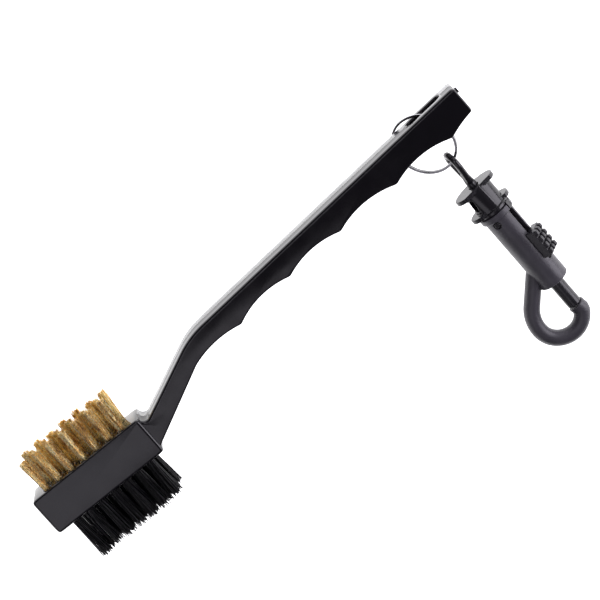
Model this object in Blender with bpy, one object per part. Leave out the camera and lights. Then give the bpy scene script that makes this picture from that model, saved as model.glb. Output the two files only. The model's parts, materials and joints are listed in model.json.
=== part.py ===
"""Club groove brush: a two-sided bristle block on a scalloped handle, with a snap hook on a split ring.

Handle frame: +X runs along the grip from the bristle block to the butt end, +Y points out of the spine,
where the brass bristles stand, and +Z out of the side that faces up as the brush lies on its other side.
Its origin is the spine's corner at the butt end, half way through the handle's thickness.

Snap frame: its origin lies on the snap's axis inside the eye's loop, +Z runs down the snap's axis to the
hook, +X points the same way as the handle's +X but for the snap's small swing, and +Y points up from the
surface.
"""

from math import asin, atan2, ceil, cos, pi, radians, sin, sqrt, tan

import bmesh
import bpy
from mathutils import Matrix, Vector

MM = 0.001

# Handle
GRIP_DEPTH = 11.2 * MM
GRIP_EDGE_RADIUS = 0.5 * MM
BUTT_CORNER_RADIUS = 1.2 * MM
BUTT_LOW_CORNER_RADIUS = 0.9 * MM
NECK_BEND_X = -108.3 * MM
NECK_BEND_RADIUS = 30.0 * MM
NECK_SLOPE = radians(20.3)
NECK_ROOT_FILLET = 1.9 * MM
NECK_ROOT_STEP = 3.2 * MM
NECK_LOW_ROOT_Y = -18.5 * MM
NECK_LOW_ROOT_FILLET = 1.2 * MM
NECK_LOW_ROOT_STEP = 1.2 * MM
NECK_INSIDE_BLOCK = 8.0 * MM
# The finger ridges, from the neck to the butt end, and how far each hollow between two of them is cut in
RIDGES = [(-112.5, -8.0), (-94.0, -8.35), (-73.4, -7.95), (-53.2, -8.55), (-31.5, -9.85),
          (-10.2, -11.15), (-0.4, -9.2)]
HOLLOWS = [1.35, 2.0, 1.9, 2.1, 2.1, 0.35]
HOLLOW_STEP = 2.6 * MM
GATE_STUB_SIZE = Vector((1.2, 1.9, 1.2)) * MM
GATE_STUB_CENTRE = Vector((0.0, -2.3, 1.0)) * MM

# Through slot near the butt end
SLOT_LENGTH = 13.0 * MM
SLOT_WIDTH = 4.8 * MM
SLOT_CENTRE_X = -11.3 * MM
SLOT_END_RADIUS = 2.0 * MM

# Bristle block
BLOCK_LENGTH = 41.6 * MM
BLOCK_HEIGHT = 13.1 * MM
BLOCK_DEPTH = 12.7 * MM
BLOCK_CENTRE = Vector((-158.1, -12.1, 0.0)) * MM
BLOCK_TURN = radians(-4.75)
BLOCK_EDGE_RADIUS = 0.9 * MM

# Tufts
TUFTS_IN_ROW = (7, 6, 7)
TUFT_PITCH = 4.9 * MM
ROW_PITCH = 3.8 * MM
HOLE_RADIUS = 1.35 * MM
HOLE_DEPTH = 4.5 * MM
TUFT_ROOT_RADIUS = 1.1 * MM
TUFT_FOOT_GAP = 0.3 * MM
TUFT_TIP_RADIUS = 1.5 * MM
ROW_LEAN = radians(4.5)
BRASS_LENGTHS = (11.3 * MM, 11.3 * MM)
BRASS_LEANS = (radians(0.0), radians(4.5))
NYLON_LENGTHS = (13.8 * MM, 13.4 * MM)
NYLON_LEANS = (radians(6.5), radians(1.0))

# Split ring
RING_OUTER_RADIUS = 10.3 * MM
RING_BAND = 0.8 * MM
COIL_THICKNESS = 0.48 * MM
COIL_GAP = 0.04 * MM
RING_CENTRE = Vector((-17.9, -8.72, -3.9)) * MM
RING_INCLINE = radians(32.0)
RING_SEAM = radians(16.0)
RING_SEAM_AT = radians(70.0)

# Snap hook: places along its axis are measured from the snap frame's origin
SNAP_ORIGIN = Vector((-15.2, -15.97, -2.2)) * MM
SNAP_SWING = radians(-2.9)
SNAP_DROP = radians(3.2)
EYE_TWIST = radians(-10.0)
EYE_BAR = 2.05 * MM
EYE_TOP_RADIUS = 3.25 * MM
EYE_TOP_CENTRE = 2.925 * MM
EYE_FOOT_RADIUS = 1.1 * MM
EYE_FOOT_CENTRE = 9.3 * MM
SHANK_RADIUS = 1.6 * MM
EYE_HEAD_RADIUS = 2.2 * MM
EYE_HEAD_FROM = 15.1 * MM
EYE_HEAD_TO = 16.9 * MM

CAP_TURN = radians(-16.0)
CAP_TOP = 12.3 * MM
FLANGE_THICKNESS = 1.4 * MM
FLANGE_HALF = (7.35 * MM, 4.6 * MM)
FLANGE_SHIFT = -0.2 * MM
FLANGE_FLAT = 3.1 * MM
WAIST_HALF = (5.0 * MM, 3.2 * MM)
WAIST_FOOT_HALF = (5.0 * MM, 4.3 * MM)
LOWER_FLANGE = 19.9 * MM
CAP_BASE_RADIUS = 5.15 * MM
CAP_BASE_FROM = 20.9 * MM
CAP_BASE_TO = 22.0 * MM
CHAMBER_RADIUS = 2.5 * MM
CHAMBER_FROM = 14.7 * MM
CHAMBER_TO = 19.0 * MM
CAP_HOLE_RADIUS = 1.75 * MM
WINDOW_WIDTH = 4.2 * MM
PLUG_RADIUS = 3.3 * MM
PLUG_END = 28.0 * MM
NUB_RADIUS = 1.0 * MM
NUB_AT = 25.5 * MM
NUB_TURN = radians(118.0)
KEY_WIDTH = 1.7 * MM

BARREL_TOP = 22.15 * MM
COLLAR_RADIUS = 5.7 * MM
COLLAR_END = 24.1 * MM
BARREL_RADIUS = 5.0 * MM
BARREL_END = 52.0 * MM
BORE_RADIUS = 3.6 * MM
BORE_END = 49.5 * MM
ROD_HOLE_RADIUS = 2.55 * MM
THUMB_TURN = radians(35.0)
THUMB_SLOT_WIDTH = 2.3 * MM
THUMB_SLOT_END = 44.5 * MM
NUB_HOLE_RADIUS = 1.25 * MM

HOOK_SECTION_RADIUS = 2.6 * MM
HOOK_TIP = Vector((0.15, 0.0, 62.6)) * MM
HOOK_TIP_BEND = (Vector((-5.9, 0.0, 62.55)) * MM, 6.8 * MM)
HOOK_ARM_BEND = (Vector((-5.9, 0.0, 61.75)) * MM, 7.6 * MM)
HOOK_BEND_START = radians(20.0)
HOOK_ARM_FROM = 61.55 * MM
HOOK_ARM_RADIUS = 11.0 * MM
HOOK_ARM_LEAN = radians(42.5)
HOOK_ARM_RUN = 12.0 * MM

ROD_RADIUS = 2.35 * MM
ROD_TIP = 62.3 * MM
GUIDE_RADIUS = 3.3 * MM
GUIDE_FROM = 40.0 * MM
GUIDE_TO = 43.9 * MM
PAD_FROM = 33.4 * MM
PAD_TO = 43.1 * MM
PAD_SEAT_RADIUS = 5.35 * MM
PAD_TOP = 8.3 * MM
PAD_WIDTH = 5.4 * MM
PAD_NECK_WIDTH = 1.7 * MM
PAD_ROWS = 4
PAD_COLUMNS = 3
PAD_GROOVE = 0.6 * MM
PAD_GROOVE_DEPTH = 0.9 * MM

SPRING_FROM = 28.4 * MM
SPRING_TO = 39.6 * MM
SPRING_RADIUS = 2.7 * MM
SPRING_WIRE = 0.5 * MM
SPRING_TURNS = 6

ROUND_STEPS = 24
TUFT_STEPS = 10
BEYOND = 1.0 * MM


# ---------------------------------------------------------------------------------------------- materials

def plastic(name, colour, roughness):
    return material(name, colour, roughness, 0.0)


def material(name, colour, roughness, metallic):
    made = bpy.data.materials.new(name)
    made.use_nodes = True
    shader = made.node_tree.nodes["Principled BSDF"]
    shader.inputs["Base Color"].default_value = (*colour, 1.0)
    shader.inputs["Roughness"].default_value = roughness
    shader.inputs["Metallic"].default_value = metallic
    made.diffuse_color = (*colour, 1.0)
    return made


# ------------------------------------------------------------------------------------------ mesh building

def new_object(name, mesh_data, finish, parent, place=None):
    """Puts a bmesh in the scene as one object, smooth but for its sharp edges."""
    bmesh.ops.recalc_face_normals(mesh_data, faces=mesh_data.faces)
    mesh = bpy.data.meshes.new(name)
    mesh_data.to_mesh(mesh)
    mesh_data.free()
    mesh.shade_smooth()
    mesh.set_sharp_from_angle(angle=radians(35.0))
    if finish:
        mesh.materials.append(finish)
    made = bpy.data.objects.new(name, mesh)
    bpy.context.scene.collection.objects.link(made)
    made.parent = parent
    if place:
        made.matrix_local = place
    return made


def helper(name, mesh_data, parent, place=None):
    """A shape that only cuts or joins another object."""
    made = new_object(name, mesh_data, None, parent, place)
    made.hide_render = True
    made.display_type = "WIRE"
    return made


def boolean(target, operation, other):
    step = target.modifiers.new(other.name, "BOOLEAN")
    step.operation = operation
    step.object = other
    step.solver = "EXACT"


def loft(rings, closed=False):
    """Joins rings of equally many points by quads, and caps the two ends unless the rings close."""
    built = bmesh.new()
    rows = [[built.verts.new(point) for point in ring] for ring in rings]
    count = len(rows[0])
    pairs = list(zip(rows, rows[1:]))
    if closed:
        pairs.append((rows[-1], rows[0]))
    for low, high in pairs:
        for i in range(count):
            j = (i + 1) % count
            built.faces.new((low[i], low[j], high[j], high[i]))
    if not closed:
        built.faces.new(rows[0])
        built.faces.new(rows[-1])
    return built


def circle(radius, steps=ROUND_STEPS):
    return [(radius * cos(2 * pi * i / steps), radius * sin(2 * pi * i / steps)) for i in range(steps)]


def turned(profile, steps=ROUND_STEPS):
    """A solid turned about Z from (radius, z) pairs, given from its lowest z to its highest."""
    return loft([[(x, y, z) for x, y in circle(radius, steps)] for radius, z in profile])


def cylinder(radius, low, high, steps=ROUND_STEPS):
    return turned([(radius, low), (radius, high)], steps)


def box(low, high):
    corners = [(low[0], low[1]), (high[0], low[1]), (high[0], high[1]), (low[0], high[1])]
    return loft([[(x, y, z) for x, y in corners] for z in (low[2], high[2])])


def oval(low_half, high_half, low, high):
    """An upright solid between two ovals, each given by its half widths along X and Y."""
    outline = circle(1.0, ROUND_STEPS + 8)
    ends = [(low_half, low), (high_half, high)]
    built = loft([[(half[0] * x, half[1] * y, z) for x, y in outline] for half, z in ends])
    bmesh.ops.triangulate(built, faces=built.faces)
    return built


def flange(low, high):
    """An oval disc whose upper side is cut flat."""
    outline = [(FLANGE_HALF[0] * x + FLANGE_SHIFT, min(FLANGE_HALF[1] * y, FLANGE_FLAT))
               for x, y in circle(1.0, 32)]
    return loft([[(x, y, z) for x, y in outline] for z in (low, high)])


def rounded(corners, steps=4):
    """An outline through (x, y, radius) corners, each replaced by an arc that touches both its sides."""
    points = []
    for i, (x, y, radius) in enumerate(corners):
        here = Vector((x, y))
        if radius == 0:
            points.append(here)
            continue
        before = (Vector(corners[i - 1][:2]) - here).normalized()
        after = (Vector(corners[(i + 1) % len(corners)][:2]) - here).normalized()
        half = before.angle(after) / 2
        centre = here + (before + after).normalized() * (radius / sin(half))
        start = here + before * (radius / tan(half)) - centre
        end = here + after * (radius / tan(half)) - centre
        turn = start.angle_signed(end)
        for k in range(steps + 1):
            points.append(centre + Matrix.Rotation(-turn * k / steps, 2) @ start)
    return points


def hollow_between(start, end, sag, steps):
    """Points on the arc from start to end that rises by sag in the middle, without start itself."""
    start = Vector(start)
    end = Vector(end)
    chord = end - start
    across = Vector((-chord.y, chord.x)).normalized()
    radius = (chord.length ** 2 / 4 + sag ** 2) / (2 * sag)
    centre = (start + end) / 2 + across * (sag - radius)
    half = asin(chord.length / 2 / radius)
    middle = atan2(across.y, across.x)
    turns = [middle + half - 2 * half * k / steps for k in range(1, steps + 1)]
    return [centre + radius * Vector((cos(turn), sin(turn))) for turn in turns]


def inset(outline, amount):
    """The outline moved inwards by amount, for an outline that runs anticlockwise."""
    moved = []
    for i, here in enumerate(outline):
        before = (here - outline[i - 1]).normalized()
        after = (outline[(i + 1) % len(outline)] - here).normalized()
        inward = Vector((-before.y - after.y, before.x + after.x)).normalized()
        lean = max(0.5, inward.dot(Vector((-after.y, after.x))))
        moved.append(here + inward * (amount / lean))
    return moved


def rounded_prism(outline, depth, edge_radius):
    """The outline, in X and Y, with thickness along Z and its two rims rounded in two facets."""
    half = depth / 2
    rims = [(edge_radius * (1 - cos(turn)), half - edge_radius * (1 - sin(turn))) for turn in (0, pi / 4, pi / 2)]
    layers = [(amount, -z) for amount, z in reversed(rims)] + rims
    return loft([[(point.x, point.y, z) for point in inset(outline, amount)] for amount, z in layers])


def swept(path, binormal, section, closed=False):
    """A section of (in-plane, binormal) offsets carried along a path that lies in one plane."""
    rings = []
    for i, here in enumerate(path):
        ahead = path[(i + 1) % len(path)] if closed or i + 1 < len(path) else here
        behind = path[i - 1] if closed or i > 0 else here
        side = (ahead - behind).cross(binormal).normalized()
        rings.append([here + side * across + binormal * along for across, along in section])
    return loft(rings, closed)


# ------------------------------------------------------------------------------------------------- handle

def block_place():
    return Matrix.Translation(BLOCK_CENTRE) @ Matrix.Rotation(BLOCK_TURN, 4, "Z")


def rear_face_x(y):
    """Where the block's rear face stands at height y, in the handle frame."""
    rear = block_place() @ Vector((BLOCK_LENGTH / 2, 0, 0))
    return rear.x - (y - rear.y) * tan(BLOCK_TURN)


def handle_outline():
    """The grip and neck seen from above, anticlockwise from the butt end's corner on the spine."""
    root_y = -(NECK_BEND_X - BLOCK_CENTRE.x - BLOCK_LENGTH / 2) * tan(NECK_SLOPE)
    above_root_y = root_y + NECK_ROOT_STEP
    low_root_y = NECK_LOW_ROOT_Y - NECK_LOW_ROOT_STEP
    inside_x = rear_face_x(root_y) - NECK_INSIDE_BLOCK
    ridges = [Vector(ridge) * MM for ridge in RIDGES]
    corners = [
        (0, 0, BUTT_CORNER_RADIUS),
        (NECK_BEND_X, 0, NECK_BEND_RADIUS),
        (rear_face_x(root_y), root_y, NECK_ROOT_FILLET),
        (rear_face_x(above_root_y), above_root_y, 0),
        (inside_x, above_root_y, 0),
        (inside_x, low_root_y, 0),
        (rear_face_x(low_root_y), low_root_y, 0),
        (rear_face_x(NECK_LOW_ROOT_Y), NECK_LOW_ROOT_Y, NECK_LOW_ROOT_FILLET),
        (*ridges[0], 0),
    ]
    for start, end, sag in zip(ridges, ridges[1:], HOLLOWS):
        steps = ceil((end - start).length / HOLLOW_STEP)
        corners += [(*point, 0) for point in hollow_between(start, end, sag * MM, steps)]
    corners[-1] = (*ridges[-1], BUTT_LOW_CORNER_RADIUS)
    return rounded(corners, 6)


def stadium(half_length, half_width, radius):
    corners = [(half_length, -half_width), (half_length, half_width), (-half_length, half_width)]
    corners.append((-half_length, -half_width))
    return rounded([(x, y, radius) for x, y in corners])


def tuft_places():
    """Row, number and place on the block's middle plane of every tuft of one side."""
    for row, count in enumerate(TUFTS_IN_ROW):
        for number in range(count):
            x = (number - (count - 1) / 2) * TUFT_PITCH
            z = ((len(TUFTS_IN_ROW) - 1) / 2 - row) * ROW_PITCH
            yield row, number, x, z


def tuft_hole_cutters(parent):
    """One cutter with a blind hole for every tuft, on both sides of the block."""
    cutters = bmesh.new()
    floor = BLOCK_HEIGHT / 2 - HOLE_DEPTH
    for side in (1, -1):
        for _, _, x, z in tuft_places():
            turn = Matrix.Rotation(radians(-90.0 * side), 4, "X")
            place = Matrix.Translation((x, side * (floor + BLOCK_HEIGHT + BEYOND) / 2, z)) @ turn
            length = BLOCK_HEIGHT + BEYOND - floor
            bmesh.ops.create_cone(cutters, cap_ends=True, segments=TUFT_STEPS, radius1=HOLE_RADIUS,
                                  radius2=HOLE_RADIUS, depth=length, matrix=place)
    return helper("tuft_holes", cutters, parent, block_place())


def make_handle(parent, black):
    made = new_object("handle", rounded_prism(handle_outline(), GRIP_DEPTH, GRIP_EDGE_RADIUS), black, parent)
    block_outline = stadium(BLOCK_LENGTH / 2, BLOCK_HEIGHT / 2, BLOCK_EDGE_RADIUS)
    block_mesh = rounded_prism(block_outline, BLOCK_DEPTH, BLOCK_EDGE_RADIUS * 0.8)
    block = helper("bristle_block", block_mesh, parent, block_place())
    stub_mesh = box(GATE_STUB_CENTRE - GATE_STUB_SIZE / 2, GATE_STUB_CENTRE + GATE_STUB_SIZE / 2)
    stub = helper("gate_stub", stub_mesh, parent)
    slot_outline = stadium(SLOT_LENGTH / 2, SLOT_WIDTH / 2, SLOT_END_RADIUS)
    slot_mesh = loft([[(p.x + SLOT_CENTRE_X, y, p.y) for p in slot_outline] for y in (-20 * MM, 5 * MM)])
    slot = helper("ring_slot", slot_mesh, parent)
    boolean(made, "UNION", block)
    boolean(made, "UNION", stub)
    boolean(made, "DIFFERENCE", slot)
    boolean(made, "DIFFERENCE", tuft_hole_cutters(parent))
    return made


# -------------------------------------------------------------------------------------------------- tufts

def tuft_mesh(length, lean_x, lean_z):
    """A bundle with its foot in the hole and its free end flared and leaning; +Y is out of the hole."""
    foot = -HOLE_DEPTH + TUFT_FOOT_GAP
    levels = [(foot, TUFT_ROOT_RADIUS), (0.0, TUFT_ROOT_RADIUS), (length, TUFT_TIP_RADIUS)]
    rings = []
    for height, radius in levels:
        free = max(height, 0.0)
        shift = Vector((free * tan(lean_x), height, free * tan(lean_z)))
        rings.append([shift + Vector((x, 0, y)) for x, y in circle(radius, TUFT_STEPS)])
    return loft(rings)


def make_tufts(kind, side, lengths, leans, parent, finish):
    """One side's tufts: lengths and leans are those at the block's front end and at its rear end."""
    for row, number, x, z in tuft_places():
        along = 0.5 + x / TUFT_PITCH / (max(TUFTS_IN_ROW) - 1)
        length = lengths[0] + (lengths[1] - lengths[0]) * along
        lean_x = leans[0] + (leans[1] - leans[0]) * along
        lean_z = ROW_LEAN * z / ROW_PITCH
        turn = Matrix.Identity(4) if side > 0 else Matrix.Rotation(pi, 4, "X")
        mesh = tuft_mesh(length, lean_x, lean_z * side)
        place = block_place() @ Matrix.Translation((x, side * BLOCK_HEIGHT / 2, z)) @ turn
        new_object(f"{kind}_tuft_{row + 1}_{number + 1}", mesh, finish, parent, place)


# --------------------------------------------------------------------------------------------- split ring

def ring_place():
    """The ring's own frame: its plane holds the handle's Y axis and leans by RING_INCLINE about it."""
    return Matrix.Translation(RING_CENTRE) @ Matrix.Rotation(-RING_INCLINE, 4, "Y")


def coil_height(turn):
    """Which coil the wire is in at this turn: the wire steps up from one to the other half way."""
    step = (turn - 2 * pi + RING_SEAM) / (2 * RING_SEAM)
    step = min(1.0, max(0.0, step))
    return (COIL_THICKNESS + COIL_GAP) * (step * step * (3 - 2 * step) - 0.5)


def make_ring(parent, steel):
    """Two flat turns of wire, with both of its ends beside the step between them."""
    inner = RING_OUTER_RADIUS - RING_BAND
    half = COIL_THICKNESS / 2
    first = RING_SEAM * 1.1
    last = 4 * pi - RING_SEAM * 1.1
    steps = 112
    rings = []
    for i in range(steps + 1):
        turn = first + (last - first) * i / steps
        height = coil_height(turn)
        angle = turn + RING_SEAM_AT
        section = [(inner, -half), (RING_OUTER_RADIUS, -half), (RING_OUTER_RADIUS, half), (inner, half)]
        rings.append([(r * cos(angle), r * sin(angle), z + height) for r, z in section])
    return new_object("split_ring", loft(rings), steel, parent, ring_place())


# -------------------------------------------------------------------------------------------------- snap

def snap_frame(parent):
    frame = bpy.data.objects.new("snap_frame", None)
    bpy.context.scene.collection.objects.link(frame)
    frame.parent = parent
    turn = Matrix.Rotation(SNAP_SWING, 4, "Z") @ Matrix.Rotation(pi / 2 + SNAP_DROP, 4, "X")
    frame.matrix_local = Matrix.Translation(SNAP_ORIGIN) @ turn
    return frame


def arc_path(centre_x, centre_z, radius, start, end, steps):
    """Points on an arc in the snap frame's XZ plane, with angles taken from +X towards +Z."""
    turns = [start + (end - start) * k / steps for k in range(steps + 1)]
    return [Vector((centre_x + radius * cos(turn), 0, centre_z + radius * sin(turn))) for turn in turns]


def make_swivel_eye(parent, black):
    """A slender loop on a shank, with the head that keeps it in the cap."""
    taper = asin((EYE_TOP_RADIUS - EYE_FOOT_RADIUS) / (EYE_FOOT_CENTRE - EYE_TOP_CENTRE))
    path = arc_path(0, EYE_FOOT_CENTRE, EYE_FOOT_RADIUS, taper, pi - taper, 8)
    path += arc_path(0, EYE_TOP_CENTRE, EYE_TOP_RADIUS, pi - taper, 2 * pi + taper, 16)
    upright = Matrix.Rotation(pi / 2 + EYE_TWIST, 4, "Z")
    loop = swept(path, Vector((0, 1, 0)), circle(EYE_BAR / 2, 10), closed=True)
    made = new_object("swivel_eye", loop, black, parent, upright)
    shank = turned([
        (SHANK_RADIUS, EYE_FOOT_CENTRE),
        (SHANK_RADIUS, EYE_HEAD_FROM),
        (EYE_HEAD_RADIUS, EYE_HEAD_FROM),
        (EYE_HEAD_RADIUS, EYE_HEAD_TO - 0.4 * MM),
        (EYE_HEAD_RADIUS - 0.4 * MM, EYE_HEAD_TO),
    ])
    boolean(made, "UNION", helper("eye_shank", shank, parent))
    return made


def make_swivel_cap(parent, black):
    """Two oval flanges on a waist that holds the swivel chamber, and a plug that snaps into the barrel."""
    cap_turn = Matrix.Rotation(CAP_TURN, 4, "Z")
    upper = flange(CAP_TOP, CAP_TOP + FLANGE_THICKNESS)
    made = new_object("swivel_cap", upper, black, parent, cap_turn)
    waist = oval(WAIST_HALF, WAIST_FOOT_HALF, CAP_TOP + FLANGE_THICKNESS / 2, CAP_BASE_FROM + 0.3 * MM)
    lower = flange(LOWER_FLANGE, LOWER_FLANGE + FLANGE_THICKNESS)
    base = cylinder(CAP_BASE_RADIUS, CAP_BASE_FROM, CAP_BASE_TO, 32)
    plug = cylinder(PLUG_RADIUS, CHAMBER_TO + 0.5 * MM, PLUG_END)
    nub = cylinder(NUB_RADIUS, PLUG_RADIUS / 2, BARREL_RADIUS - 0.1 * MM, 12)
    out_of_barrel = Matrix.Rotation(NUB_TURN, 4, "Z") @ Matrix.Rotation(pi / 2, 4, "Y")
    nub_place = Matrix.Translation((0, 0, NUB_AT)) @ out_of_barrel
    key = box((0, -KEY_WIDTH / 2, (CAP_BASE_FROM + CAP_BASE_TO) / 2), (COLLAR_RADIUS, KEY_WIDTH / 2, COLLAR_END))
    thumb_side = Matrix.Rotation(THUMB_TURN, 4, "Z")
    boolean(made, "UNION", helper("cap_waist", waist, parent, cap_turn))
    boolean(made, "UNION", helper("cap_lower_flange", lower, parent, cap_turn))
    boolean(made, "UNION", helper("cap_base", base, parent))
    boolean(made, "UNION", helper("cap_plug", plug, parent))
    boolean(made, "UNION", helper("cap_nub", nub, parent, nub_place))
    boolean(made, "UNION", helper("cap_key", key, parent, thumb_side))
    chamber = cylinder(CHAMBER_RADIUS, CHAMBER_FROM, CHAMBER_TO)
    hole = cylinder(CAP_HOLE_RADIUS, CAP_TOP - BEYOND, CHAMBER_FROM + BEYOND)
    window = box((-FLANGE_HALF[0] - BEYOND, -WINDOW_WIDTH / 2, CHAMBER_FROM), (0, WINDOW_WIDTH / 2, CHAMBER_TO))
    boolean(made, "DIFFERENCE", helper("cap_chamber", chamber, parent))
    boolean(made, "DIFFERENCE", helper("cap_hole", hole, parent))
    boolean(made, "DIFFERENCE", helper("cap_window", window, parent, cap_turn))
    return made


def hook_path():
    """The hook's centre line, from inside its tip to inside the barrel's wall."""
    tip_centre, tip_radius = HOOK_TIP_BEND
    centre, radius = HOOK_ARM_BEND
    bend = arc_path(tip_centre.x, tip_centre.z, tip_radius, HOOK_BEND_START, pi / 2, 7)
    bend += arc_path(centre.x, centre.z, radius, pi / 2, pi, 8)[1:]
    arm_x = centre.x - radius + HOOK_ARM_RADIUS
    arm = arc_path(arm_x, HOOK_ARM_FROM, HOOK_ARM_RADIUS, pi, pi + HOOK_ARM_LEAN, 6)
    into_barrel = arm[-1] + Vector((sin(HOOK_ARM_LEAN), 0, -cos(HOOK_ARM_LEAN))) * HOOK_ARM_RUN
    return [HOOK_TIP] + bend + arm + [into_barrel]


def make_snap_body(parent, black):
    """Barrel and hook in one moulding, bored for the bolt and slotted for its thumb pad."""
    barrel = turned([
        (COLLAR_RADIUS, BARREL_TOP),
        (COLLAR_RADIUS, COLLAR_END - 0.3 * MM),
        (BARREL_RADIUS, COLLAR_END),
        (BARREL_RADIUS, BARREL_END - 0.4 * MM),
        (BARREL_RADIUS - 0.4 * MM, BARREL_END),
    ], 32)
    made = new_object("snap_body", barrel, black, parent)
    hook = swept(hook_path(), Vector((0, 1, 0)), circle(HOOK_SECTION_RADIUS, 14))
    bore = cylinder(BORE_RADIUS, BARREL_TOP - BEYOND, BORE_END)
    rod_hole = cylinder(ROD_HOLE_RADIUS, BORE_END - BEYOND, BARREL_END + BEYOND)
    slot = box((0, -THUMB_SLOT_WIDTH / 2, BARREL_TOP - BEYOND),
               (COLLAR_RADIUS + BEYOND, THUMB_SLOT_WIDTH / 2, THUMB_SLOT_END))
    nub_hole = cylinder(NUB_HOLE_RADIUS, PLUG_RADIUS / 2, COLLAR_RADIUS + BEYOND, 12)
    out_of_barrel = Matrix.Rotation(NUB_TURN, 4, "Z") @ Matrix.Rotation(pi / 2, 4, "Y")
    nub_place = Matrix.Translation((0, 0, NUB_AT)) @ out_of_barrel
    boolean(made, "UNION", helper("hook", hook, parent))
    boolean(made, "DIFFERENCE", helper("barrel_bore", bore, parent))
    boolean(made, "DIFFERENCE", helper("rod_hole", rod_hole, parent))
    boolean(made, "DIFFERENCE", helper("thumb_slot", slot, parent, Matrix.Rotation(THUMB_TURN, 4, "Z")))
    boolean(made, "DIFFERENCE", helper("nub_hole", nub_hole, parent, nub_place))
    return made


def groove_cutters(boxes):
    """Several boxes, each a pair of opposite corners, that cut as one."""
    cutters = bmesh.new()
    for low, high in boxes:
        size = Vector(high) - Vector(low)
        place = Matrix.Translation(Vector(low) + size / 2) @ Matrix.Diagonal((*size, 1.0))
        bmesh.ops.create_cube(cutters, size=1.0, matrix=place)
    return cutters


def groove_edges(low, high, count):
    """Where each groove between count equal knobs starts and ends."""
    for i in range(1, count):
        middle = low + (high - low) * i / count
        yield middle - PAD_GROOVE / 2, middle + PAD_GROOVE / 2


def pad_grooves(parent, place):
    """The rows and columns of grooves that leave the thumb pad's knobs standing."""
    floor = PAD_TOP - PAD_GROOVE_DEPTH
    above = PAD_TOP + BEYOND
    wide = PAD_WIDTH / 2 + BEYOND
    across = [((floor, -wide, low), (above, wide, high)) for low, high in groove_edges(PAD_FROM, PAD_TO, PAD_ROWS)]
    along = [((floor, low, PAD_FROM - BEYOND), (above, high, PAD_TO + BEYOND))
             for low, high in groove_edges(-PAD_WIDTH / 2, PAD_WIDTH / 2, PAD_COLUMNS)]
    yield helper("pad_grooves_across", groove_cutters(across), parent, place)
    yield helper("pad_grooves_along", groove_cutters(along), parent, place)


def make_bolt_plunger(parent, black):
    """Rod, guide head and thumb pad in one moulding; the pad's neck runs in the barrel's slot."""
    rod = turned([
        (GUIDE_RADIUS, GUIDE_FROM),
        (GUIDE_RADIUS, GUIDE_TO),
        (ROD_RADIUS, GUIDE_TO),
        (ROD_RADIUS, ROD_TIP),
    ])
    made = new_object("bolt_plunger", rod, black, parent)
    thumb_side = Matrix.Rotation(THUMB_TURN, 4, "Z")
    neck = box((0, -PAD_NECK_WIDTH / 2, GUIDE_FROM + 0.2 * MM), (PAD_TOP - 1.5 * MM, PAD_NECK_WIDTH / 2, PAD_TO))
    pad = box((ROD_RADIUS, -PAD_WIDTH / 2, PAD_FROM), (PAD_TOP, PAD_WIDTH / 2, PAD_TO))
    pad_object = helper("thumb_pad", pad, parent, thumb_side)
    boolean(pad_object, "DIFFERENCE", helper("pad_seat", cylinder(PAD_SEAT_RADIUS, 0, PAD_TO * 2, 32), parent))
    for grooves in pad_grooves(parent, thumb_side):
        boolean(pad_object, "DIFFERENCE", grooves)
    boolean(made, "UNION", helper("pad_neck", neck, parent, thumb_side))
    boolean(made, "UNION", pad_object)
    return made


def make_bolt_spring(parent, steel):
    """The coil spring that holds the bolt shut."""
    steps = 12
    count = SPRING_TURNS * steps
    length = SPRING_TO - SPRING_FROM - SPRING_WIRE
    rings = []
    for i in range(count + 1):
        turn = 2 * pi * i / steps
        height = SPRING_FROM + SPRING_WIRE / 2 + length * i / count
        outward = Vector((cos(turn), sin(turn), 0))
        section = circle(SPRING_WIRE / 2, 6)
        rings.append([outward * (SPRING_RADIUS + x) + Vector((0, 0, height + y)) for x, y in section])
    return new_object("bolt_spring", loft(rings), steel, parent)


# ------------------------------------------------------------------------------------------------ assembly

def lying_tilt():
    """The brush lies on the far edge of its block and on the lowest point of the split ring."""
    ring_drop = RING_OUTER_RADIUS * sin(RING_INCLINE) + (COIL_THICKNESS + COIL_GAP / 2) * cos(RING_INCLINE)
    ring_low = RING_CENTRE.z - ring_drop
    ring_low_x = RING_CENTRE.x - RING_OUTER_RADIUS * cos(RING_INCLINE)
    front_x = BLOCK_CENTRE.x - BLOCK_LENGTH / 2
    return atan2(-BLOCK_DEPTH / 2 - ring_low, ring_low_x - front_x)


def stand_on_origin(root):
    """Moves the root so that the whole brush stands on Z = 0, centred on the origin in X and Y."""
    bpy.context.view_layer.update()
    graph = bpy.context.evaluated_depsgraph_get()
    corners = []
    for made in bpy.context.scene.objects:
        if made.type == "MESH" and not made.hide_render:
            ready = made.evaluated_get(graph)
            corners += [ready.matrix_world @ vertex.co for vertex in ready.data.vertices]
    low = Vector([min(corner[axis] for corner in corners) for axis in range(3)])
    high = Vector([max(corner[axis] for corner in corners) for axis in range(3)])
    middle = (low + high) / 2
    root.location = (-middle.x, -middle.y, -low.z)


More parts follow.
